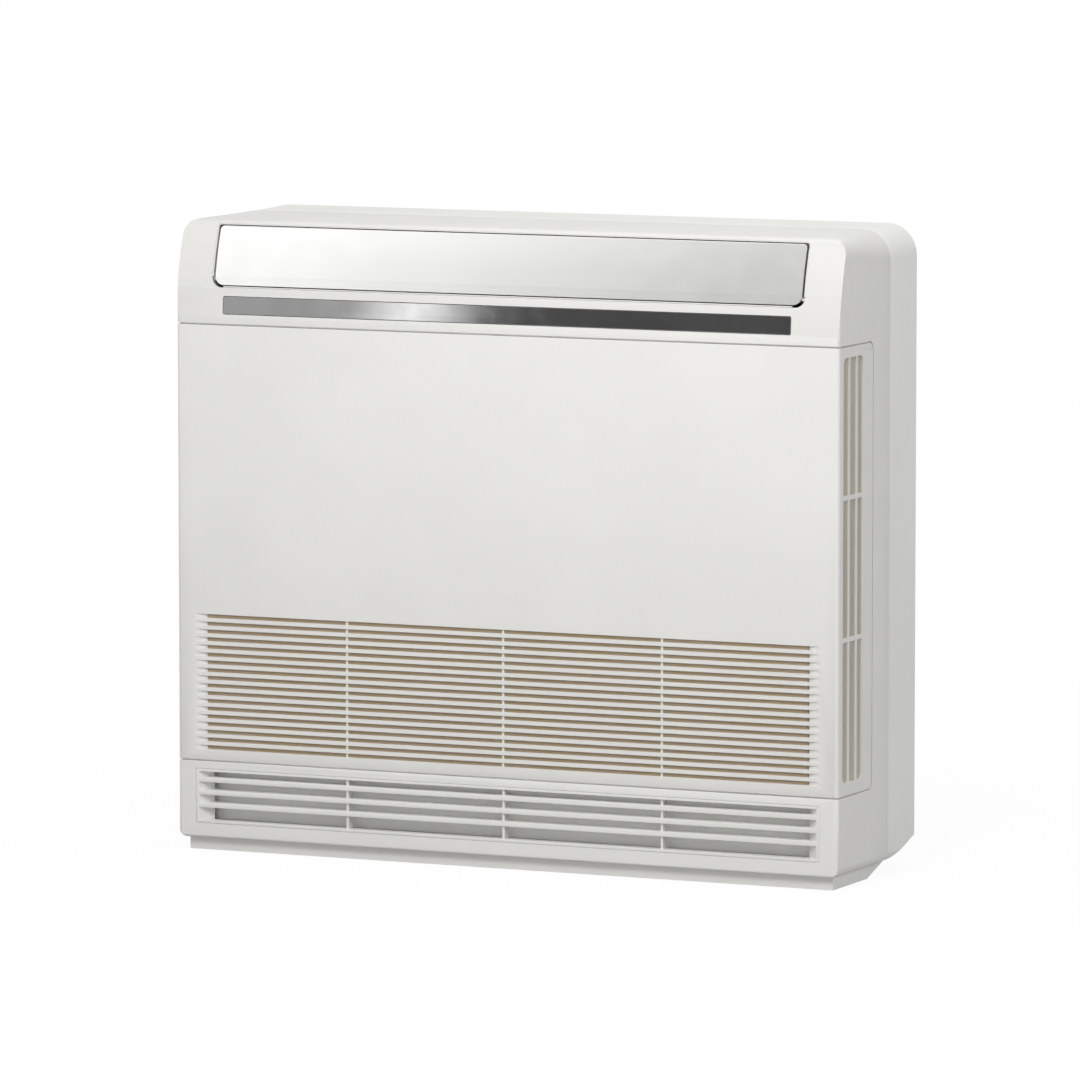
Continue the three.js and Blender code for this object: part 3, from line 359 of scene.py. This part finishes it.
def setInRows(tree, take):
    column = node(tree, "GeometryNodeMeshLine", {"mode": "OFFSET"}, {
        "Count": take["rows"], "Start Location": take["first"], "Offset": take["rowStep"]})
    row = node(tree, "GeometryNodeMeshLine", {"mode": "OFFSET"}, {
        "Count": take["columns"], "Offset": take["columnStep"]})
    lines = node(tree, "GeometryNodeInstanceOnPoints", values={"Points": column, "Instance": row})
    points = node(tree, "GeometryNodeRealizeInstances", values={"Geometry": lines})
    turn = node(tree, "FunctionNodeRandomValue", {"data_type": "FLOAT_VECTOR"}, {
        0: take["least"], 1: take["most"], "Seed": take["seed"]})
    return node(tree, "GeometryNodeInstanceOnPoints", values={
        "Points": points, "Instance": take["Geometry"], "Rotation": turn})


def drawnBead(tree, take):
    path = node(tree, "GeometryNodeMeshToCurve", values={"Mesh": take["Geometry"]})
    section = node(tree, "GeometryNodeCurvePrimitiveCircle", values={
        "Radius": take["radius"], "Resolution": take["sides"]})
    return node(tree, "GeometryNodeCurveToMesh", values={
        "Curve": path, "Profile Curve": section, "Fill Caps": True})


rowMaker = growingTree("rows", {
    "columns": "Int", "rows": "Int", "first": "Vector", "columnStep": "Vector", "rowStep": "Vector",
    "least": "Vector", "most": "Vector", "seed": "Int", "finish": "Material"}, setInRows)
beadMaker = growingTree("bead", {"radius": "Float", "sides": "Int", "finish": "Material"}, drawnBead)


def evaluated(mesh, tree, settings):
    holder = bpy.data.objects.new("holder", mesh)
    bpy.context.scene.collection.objects.link(holder)
    grown = holder.modifiers.new("grown", "NODES")
    grown.node_group = tree
    for item in tree.interface.items_tree:
        if item.in_out == "INPUT" and item.name in settings:
            grown[item.identifier] = settings[item.name]
    made = bpy.data.meshes.new_from_object(holder.evaluated_get(bpy.context.evaluated_depsgraph_get()))
    holder.modifiers.remove(grown)
    bpy.data.objects.remove(holder)
    made.materials.clear()
    made.materials.append(settings["finish"])
    made.polygons.foreach_set("material_index", [0] * len(made.polygons))
    return made


def inRows(unit, values):
    return evaluated(unit, rowMaker, {
        "columns": 1, "rows": 1, "columnStep": (0, 0, 0), "rowStep": (0, 0, 0), "least": (0, 0, 0),
        "most": (0, 0, 0), "seed": 7, **values})


def meshOf(name, shape):
    bmesh.ops.recalc_face_normals(shape, faces=shape.faces)
    mesh = bpy.data.meshes.new(name)
    shape.to_mesh(mesh)
    shape.free()
    return mesh


def joinedMesh(name, *meshes):
    shape = bmesh.new()
    for mesh in meshes:
        shape.from_mesh(mesh)
    made = bpy.data.meshes.new(name)
    shape.to_mesh(made)
    shape.free()
    made.materials.append(meshes[0].materials[0])
    return made


# the fin pack: thin pressed plates whose folds stiffen them

finPack = {"pitch": 0.0016, "thick": 0.00016, "folds": 12, "press": 0.00032, "edge": 0.0002, "lean": 0.0018}


def foldedFin(look, depth, height):
    shape = bmesh.new()
    sides = []
    for side in (-0.5, 0.5):
        run = []
        for i in range(look["folds"] + 1):
            x = look["press"] * (0.5 if i % 2 else -0.5) + side * look["thick"]
            y = -depth / 2 + depth * i / look["folds"]
            run.append([shape.verts.new((x, y, z)) for z in (0, height)])
        sides.append(run)
    near, far = sides
    for i in range(look["folds"]):
        shape.faces.new((near[i][0], near[i + 1][0], near[i + 1][1], near[i][1]))
        shape.faces.new((far[i][0], far[i][1], far[i + 1][1], far[i + 1][0]))
        for end in (0, 1):
            shape.faces.new((near[i][end], far[i][end], far[i + 1][end], near[i + 1][end]))
    for i in (0, -1):
        shape.faces.new((near[i][0], near[i][1], far[i][1], far[i][0]))
    return meshOf("fin", shape)


low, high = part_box("evaporator_fins")
inset = finPack["edge"]
across = high[0] - low[0] - 2 * inset - finPack["press"] - finPack["thick"]
count = round(across / finPack["pitch"])
fins = inRows(foldedFin(finPack, high[1] - low[1] - 2 * inset, high[2] - low[2] - inset), {
    "columns": count + 1, "columnStep": (across / count, 0, 0), "seed": 3, "finish": finishes["fin_metal"],
    "first": (low[0] + (high[0] - low[0] - across) / 2, (low[1] + high[1]) / 2, low[2]),
    "least": (0, 0, -finPack["lean"]), "most": (0, 0, finPack["lean"])})
finished("finPack", fins, "fin_metal", "evaporator_fins")
print("fins", count + 1)


# threads on the filters

weave = {"border": 0.0066, "pitch": 0.0024, "thick": 0.0005, "pane": 0.0004, "upright": 0.3, "level": 0.1}
threadSides = 6


def thread(thick, length, along):
    shape = bmesh.new()
    rings = []
    for end in (-0.5, 0.5):
        ring = []
        for i in range(threadSides):
            turn = math.tau * i / threadSides
            spot = [math.cos(turn) * thick / 2, math.sin(turn) * thick / 2]
            spot.insert(along, end * length)
            ring.append(shape.verts.new(spot))
        rings.append(ring)
    for i in range(threadSides):
        after = (i + 1) % threadSides
        shape.faces.new((rings[0][i], rings[0][after], rings[1][after], rings[1][i]))
    for ring in rings:
        shape.faces.new(ring)
    return meshOf("thread", shape)


def laidPiece(name, mesh, slot, body):
    piece = bpy.data.objects.new(name, mesh)
    bpy.context.scene.collection.objects.link(piece)
    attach(piece, body)


def wovenFace(name, look):
    low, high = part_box(name)
    middle = [(a + b) / 2 for a, b in zip(low, high)]
    size = [b - a - 2 * look["border"] for a, b in zip(low, high)]
    meshes = []
    for along, over, rise in ((2, 0, look["upright"]), (0, 2, look["level"])):
        count = round(size[over] / look["pitch"]) - 1
        step = [0, 0, 0]
        step[over] = size[over] / (count + 1)
        first = list(middle)
        first[1] -= look["pane"] + look["thick"] * rise
        first[over] -= size[over] / 2 - step[over]
        meshes.append(inRows(thread(look["thick"], size[along], along), {
            "columns": count, "columnStep": step, "first": first, "finish": finishes[slotOf[name]]}))
    laidPiece(name + "_threads", joinedMesh(name + "_threads", *meshes), slotOf[name], bodyOf[name])


filters = ("filter_left", "filter_right")
for name in filters:
    wovenFace(name, weave)
print("threads laid on", len(filters), "panes")


# nets set in the intake slots and behind the bars of both side grilles

nets = {
    "intakeNet": {"face": 1, "low": (-0.318, -0.0936, 0.0962), "high": (0.318, -0.0936, 0.2384),
                  "slot": "filter_mesh"},
    "sideNetLeft": {"face": 0, "low": (-0.348, -0.087, 0.1005), "high": (-0.348, -0.0365, 0.5075),
                    "slot": "guide_plastic"},
    "sideNetRight": {"face": 0, "low": (0.348, -0.087, 0.1005), "high": (0.348, -0.0365, 0.5075),
                     "slot": "guide_plastic"},
}
netLook = {"pitch": 0.001, "thick": 0.0007}


def net(name, look):
    side = 1 - look["face"]
    meshes = []
    for along, over in ((2, side), (side, 2)):
        length, width = (look["high"][i] - look["low"][i] for i in (along, over))
        count = round(width / netLook["pitch"])
        step, first = [0, 0, 0], [(a + b) / 2 for a, b in zip(look["low"], look["high"])]
        step[over] = width / count
        first[over] = look["low"][over]
        meshes.append(inRows(thread(netLook["thick"], length, along), {
            "columns": count + 1, "columnStep": step, "first": first, "finish": finishes[look["slot"]]}))
    laidPiece(name, joinedMesh(name, *meshes), look["slot"], "panel")


for name, look in nets.items():
    net(name, look)
print("nets set in")


# a seal bead in the joint round the front panel, and a lip round the blade's recess

bead = {"gap": 0.00075, "underFront": 0.0026, "underSide": 0.0018, "radius": 0.0006, "corner": 0.00875,
        "turn": 0.003, "cornerSteps": 6, "sides": 8, "bottom": 0.089}
lip = {"x": 0.3123, "foot": 0.5635, "top": 0.6139, "corner": 0.0033, "under": 0.0006, "radius": 0.0007, "sides": 8,
       "cornerSteps": 6, "uprightSteps": 8, "sillX": 0.3, "sillZ": 0.55375, "leanFrom": 0.517, "leanHigh": 0.095,
       "lean": 0.0175}


def beadPath(look):
    low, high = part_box("front_panel")
    x, front = high[0] - look["underSide"], low[1] + look["underFront"]
    rear, turn, corner = high[1] + look["gap"], look["turn"], look["corner"]
    bottom, top = look["bottom"], high[2] + look["gap"]
    angles = [math.pi / 2 * i / look["cornerSteps"] for i in range(look["cornerSteps"] + 1)]
    half = [(0, front, top)]
    half += [(x - turn + turn * math.sin(a), front + turn - turn * math.cos(a), top) for a in angles]
    half += [(x, rear - corner + corner * math.sin(a), top - corner + corner * math.cos(a)) for a in angles]
    half += [(x, rear - corner + corner * math.cos(a), bottom + corner - corner * math.sin(a)) for a in angles]
    half += [(x - turn + turn * math.cos(a), front + turn - turn * math.sin(a), bottom) for a in angles]
    half.append((0, front, bottom))
    return half + [(-px, py, pz) for px, py, pz in half[-2:0:-1]]


def lipOutline(look):
    x, top, corner = look["x"], look["top"], look["corner"]
    angles = [math.pi / 2 * i / look["cornerSteps"] for i in range(look["cornerSteps"] + 1)]
    rise = (top - corner - look["foot"]) / look["uprightSteps"]
    side = [(x, look["foot"] + rise * i) for i in range(look["uprightSteps"])]
    side += [(x - corner + corner * math.cos(a), top - corner + corner * math.sin(a)) for a in angles]
    return side + [(-px, pz) for px, pz in reversed(side)]


def onLean(look, outline):
    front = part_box("front_cabinet")[0][1] + look["under"]
    return [(px, front + look["lean"] * ((pz - look["leanFrom"]) / look["leanHigh"]) ** 2, pz)
            for px, pz in outline]


def laidBead(name, path, look, body, closed=False):
    mesh = bpy.data.meshes.new(name)
    count = len(path) if closed else len(path) - 1
    mesh.from_pydata(path, [(i, (i + 1) % len(path)) for i in range(count)], [])
    laid = evaluated(mesh, beadMaker, {
        "radius": look["radius"], "sides": look["sides"], "finish": finishes["shell"]})
    laid.shade_smooth()
    laidPiece(name, laid, "shell", body)


laidBead("panelSeal", beadPath(bead), bead, "panel", closed=True)
laidBead("bladeLip", onLean(lip, lipOutline(lip)), lip, "root")
sill = [(side * lip["sillX"], lip["sillZ"]) for side in (-1, 1)]
laidBead("bladeSill", onLean(lip, sill), lip, "root")
print("seals laid")


# screw heads with a cross recess

screwLook = {"steps": 24, "dome": 0.0006, "slot": 0.0009, "reach": 0.0023, "deep": 0.0012, "taper": 0.6,
             "turn": 0.7}


def crossHead(look, radius, high):
    shape = bmesh.new()
    rings = []
    crown = ((1.0, 0.0), (1.0, high - look["dome"] * 1.5), (0.93, high - look["dome"] * 0.7), (0.75, high))
    for share, rise in crown:
        rings.append([shape.verts.new((radius * share * math.cos(math.tau * i / look["steps"]), -rise,
                                       radius * share * math.sin(math.tau * i / look["steps"])))
                      for i in range(look["steps"])])
    for near, far in zip(rings, rings[1:]):
        for i in range(look["steps"]):
            shape.faces.new((near[i - 1], near[i], far[i], far[i - 1]))
    shape.faces.new(rings[0])
    arm, wide = look["reach"], look["slot"] / 2
    outline = [(wide, arm), (wide, wide), (arm, wide), (arm, -wide), (wide, -wide), (wide, -arm),
               (-wide, -arm), (-wide, -wide), (-arm, -wide), (-arm, wide), (-wide, wide), (-wide, arm)]
    top = [shape.verts.new((x, -high, z)) for x, z in outline]
    taper = look["taper"]
    floor = [shape.verts.new((x * taper, look["deep"] - high, z * taper)) for x, z in outline]
    for i in range(len(outline)):
        shape.faces.new((top[i - 1], top[i], floor[i], floor[i - 1]))
    shape.faces.new(floor)
    edges = [shape.edges.get((loop[i - 1], loop[i])) for loop in (rings[-1], top) for i in range(len(loop))]
    bmesh.ops.triangle_fill(shape, edges=edges, use_beauty=True)
    return meshOf("crossHead", shape)


screws = [f"bracket_screw_{i}" for i in range(1, 5)]
corners = [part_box(name) for name in screws]
low, high = corners[0]
spread = (corners[1][0][0] - low[0], corners[2][0][2] - low[2])
heads = inRows(crossHead(screwLook, (high[0] - low[0]) / 2, high[1] - low[1]), {
    "columns": 2, "columnStep": (spread[0], 0, 0), "rows": 2, "rowStep": (0, 0, spread[1]), "seed": 11,
    "first": ((low[0] + high[0]) / 2, high[1], (low[2] + high[2]) / 2), "finish": finishes["steel"],
    "least": (0, -screwLook["turn"], 0), "most": (0, screwLook["turn"], 0)})
finished("bracketScrews", heads, "steel", *screws)
print("screws set")


# the room

view = {"azimuth": 24.718, "elevation": 6.057, "distance": 8.252, "lens": 283.56, "sensor": 36, "right": -0.0039,
        "up": -0.0004, "middle": 0.311, "clip": (0.1, 200)}


def lookFrom(look):
    azimuth, elevation = math.radians(look["azimuth"]), math.radians(look["elevation"])
    back = Vector((math.sin(azimuth) * math.cos(elevation), -math.cos(azimuth) * math.cos(elevation),
                   math.sin(elevation)))
    right = Vector((math.cos(azimuth), math.sin(azimuth), 0))
    up = back.cross(right)
    target = Vector((0, 0, look["middle"])) + right * look["right"] + up * look["up"]
    camera = bpy.data.objects.new("camera", bpy.data.cameras.new("camera"))
    camera.data.lens, camera.data.sensor_width = look["lens"], look["sensor"]
    camera.data.clip_start, camera.data.clip_end = look["clip"]
    turn = Matrix((right, up, back)).transposed().to_4x4()
    camera.matrix_world = Matrix.Translation(target + back * look["distance"]) @ turn
    bpy.context.scene.collection.objects.link(camera)
    bpy.context.scene.camera = camera


lookFrom(view)

room = {"air": 0.52, "floorShade": 0.22, "floorColour": (0.34, 0.34, 0.34), "floorSize": 60, "floorDrop": 0.0002,
        "floorGlow": 0.85, "shadeReach": (0.5, 1.6)}
lamps = {
    "key": {"at": (0.32, -1.75, 1.6), "aim": (0.0, -0.1, 0.45), "size": (1.1, 0.8), "power": 22, "gloss": False},
    "low": {"at": (0.1, -2.2, 0.3), "aim": (0.0, -0.1, 0.1), "size": (1.2, 0.4), "power": 3.6, "gloss": False},
    "top": {"at": (0.0, 0.2, 2.2), "aim": (0.0, 0.0, 0.6), "size": (1.6, 1.0), "power": 1, "gloss": True},
    "side": {"at": (2.4, -0.4, 1.3), "aim": (0.3, 0.0, 0.35), "size": (1.2, 1.4), "power": 9, "gloss": True},
}


def softLamp(name, look):
    lamp = bpy.data.lights.new(name, "AREA")
    lamp.shape, lamp.size, lamp.size_y = "RECTANGLE", *look["size"]
    lamp.energy = look["power"]
    made = bpy.data.objects.new(name, lamp)
    made.visible_glossy = look["gloss"]
    way = Vector(look["aim"]) - Vector(look["at"])
    made.matrix_world = Matrix.Translation(look["at"]) @ way.to_track_quat("-Z", "Y").to_matrix().to_4x4()
    bpy.context.scene.collection.objects.link(made)


for name, look in lamps.items():
    softLamp(name, look)


def seenDirect(tree):
    rays = ("Is Camera Ray", "Is Glossy Ray", "Is Transmission Ray")
    camera, glossy, through = (node(tree, "ShaderNodeLightPath", out=ray) for ray in rays)
    return node(tree, "ShaderNodeMath", {"operation": "ADD", "use_clamp": True}, {0: camera + glossy, 1: through})


# two cards that only gloss can see: one for the display strip, one for the blade above it

cards = {
    "stripCard": {"from": (0.0, -0.095, 0.536), "way": (-0.416, -0.908), "away": 3.0, "low": 0.3, "high": 0.92,
                  "stops": [(-1.4, 1.0), (-0.42, 1.02), (-0.3, 1.12), (-0.22, 1.15), (-0.137, 3.3), (-0.115, 2.7),
                            (-0.04, 0.45), (0.02, 0.2), (0.45, 0.2), (1.4, 1.0)]},
    "bladeCard": {"from": (0.0, -0.09, 0.585), "way": (-0.416, -0.84), "away": 3.0, "low": 0.92, "high": 2.8,
                  "stops": [(-1.4, 1.1), (-0.5, 1.65), (-0.35, 1.52), (-0.25, 1.28), (-0.13, 1.04), (0.0, 0.86),
                            (0.13, 0.67), (0.26, 0.52), (0.38, 0.38), (1.4, 0.6)]},
}


def glossCard(name, look):
    way = Vector((*look["way"], 0)).normalized()
    across = Vector((-way.y, way.x, 0))
    middle = Vector(look["from"]) + way * look["away"]
    half = look["stops"][-1][0]
    corners = [middle + across * u for u in (-half, half)]
    mesh = bpy.data.meshes.new(name)
    mesh.from_pydata([(c.x, c.y, z) for z in (look["low"], look["high"]) for c in corners], [], [(0, 1, 3, 2)])
    card = bpy.data.objects.new(name, mesh)
    bpy.context.scene.collection.objects.link(card)
    card.visible_camera = card.visible_diffuse = card.visible_shadow = card.visible_transmission = False
    glow = bpy.data.materials.new(name)
    glow.use_nodes = True
    tree = glow.node_tree
    tree.nodes.clear()
    place = node(tree, "ShaderNodeTexCoord", out=3)
    shift = node(tree, "ShaderNodeVectorMath", {"operation": "DOT_PRODUCT"}, {0: place, 1: across}, out=1)
    along = (shift - middle.dot(across) + half) / (2 * half)
    top = max(level for _, level in look["stops"])
    stops = [((u + half) / (2 * half), (*[level / top] * 3, 1)) for u, level in look["stops"]]
    colour = node(tree, "ShaderNodeValToRGB", {"stops": stops}, {0: along})
    light = node(tree, "ShaderNodeEmission", values={"Color": colour, "Strength": top})
    end = tree.nodes.new("ShaderNodeOutputMaterial")
    tree.links.new(light.socket, end.inputs["Surface"])
    mesh.materials.append(glow)


for name, look in cards.items():
    glossCard(name, look)


world = bpy.data.worlds.new("softAir")
world.use_nodes = True
bpy.context.scene.world = world
air = world.node_tree
direct = seenDirect(air)
air.links.new((direct * (1 - room["air"]) + room["air"]).socket, air.nodes["Background"].inputs["Strength"])
air.nodes["Background"].inputs["Color"].default_value = (1, 1, 1, 1)

floorMesh = bpy.data.meshes.new("floor")
half = room["floorSize"] / 2
floorMesh.from_pydata([(x * half, y * half, -room["floorDrop"]) for x, y in ((-1, -1), (1, -1), (1, 1), (-1, 1))],
                      [], [(0, 1, 2, 3)])
floor = bpy.data.objects.new("floor", floorMesh)
bpy.context.scene.collection.objects.link(floor)
pale = bpy.data.materials.new("paleFloor")
pale.use_nodes = True
tree = pale.node_tree
base = tree.nodes["Principled BSDF"]
base.inputs["Base Color"].default_value = (*room["floorColour"], 1)
base.inputs["Roughness"].default_value = 0.9
place = node(tree, "ShaderNodeTexCoord", out=3)
spread = node(tree, "ShaderNodeVectorMath", {"operation": "LENGTH"}, {0: place}, out=1)
near = node(tree, "ShaderNodeMapRange", {"interpolation_type": "SMOOTHSTEP"}, {
    0: spread, 1: room["shadeReach"][0], 2: room["shadeReach"][1], 3: room["floorShade"], 4: 0.0})
bright = node(tree, "ShaderNodeEmission", values={
    "Color": (1, 1, 1, 1), "Strength": near * room["floorGlow"] + 1.0})
mixed = node(tree, "ShaderNodeMixShader", values={0: seenDirect(tree) * (1 - near), 2: bright})
tree.links.new(base.outputs[0], mixed.socket.node.inputs[1])
tree.links.new(mixed.socket, tree.nodes["Material Output"].inputs["Surface"])
floorMesh.materials.append(pale)
bpy.context.scene.view_settings.view_transform = "Standard"
print("room lit")
